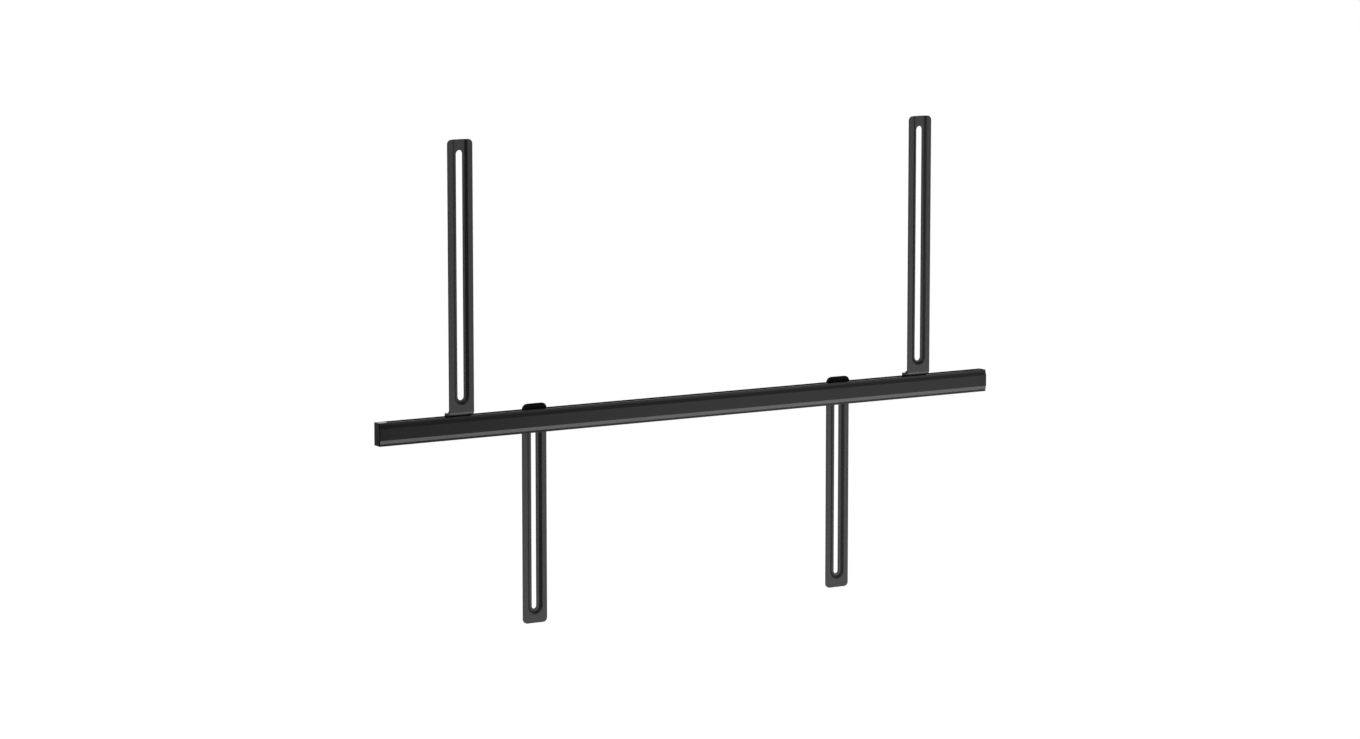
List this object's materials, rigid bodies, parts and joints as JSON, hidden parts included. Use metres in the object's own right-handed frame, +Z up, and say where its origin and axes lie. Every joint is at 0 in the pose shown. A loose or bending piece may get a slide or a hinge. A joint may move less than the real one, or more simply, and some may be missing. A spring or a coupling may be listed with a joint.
{
  "type": "soundbar bracket",
  "caption": "Black soundbar bracket: a capped rail with slotted arms rising to a television's screw holes and slotted arms hanging below for the soundbar; all slide along the rail.",
  "frame": {"origin": "midway between the upper arms' slots, on the plane of the upper arms' front faces", "axes": "+X along the rail, -Y towards the television, +Z up as it hangs in use"},
  "size_m": [0.7972, 0.0231, 0.5397],
  "materials": {
    "arm_paint": "matt black powder coat",
    "rail_finish": "black anodised, satin",
    "cap_plastic": "glossy black",
    "pad_rubber": "matt black",
    "screw_steel": "black oxide",
    "plated_steel": "bright zinc plate"
  },
  "bodies": {
    "rail_body": {"rail": "rail_finish", "end_cap_left": "cap_plastic", "end_cap_right": "cap_plastic"},
    "upper_left": {"upper_arm_left": "arm_paint", "foot_pad_left": "pad_rubber", "foot_nut_bar_left": "plated_steel", "foot_screws_left": "screw_steel"},
    "lower_left": {"lower_arm_left": "arm_paint", "liner_left": "pad_rubber", "clamp_nut_bar_left": "plated_steel", "clamp_screws_left": "screw_steel", "clamp_washers_left": "plated_steel"},
    "upper_right": {"upper_arm_right": "arm_paint", "foot_pad_right": "pad_rubber", "foot_nut_bar_right": "plated_steel", "foot_screws_right": "screw_steel"},
    "lower_right": {"lower_arm_right": "arm_paint", "liner_right": "pad_rubber", "clamp_nut_bar_right": "plated_steel", "clamp_screws_right": "screw_steel", "clamp_washers_right": "plated_steel"}
  },
  "joints": [
    {"name": "upper_left_slide", "type": "slide", "parent": "rail_body", "child": "upper_left", "axis": [1, 0, 0], "range_m": [-0.055, 0.25]},
    {"name": "upper_right_slide", "type": "slide", "parent": "rail_body", "child": "upper_right", "axis": [1, 0, 0], "range_m": [-0.25, 0.055]},
    {"name": "lower_left_slide", "type": "slide", "parent": "rail_body", "child": "lower_left", "axis": [1, 0, 0], "range_m": [-0.155, 0.15]},
    {"name": "lower_right_slide", "type": "slide", "parent": "rail_body", "child": "lower_right", "axis": [1, 0, 0], "range_m": [-0.15, 0.155]}
  ]
}
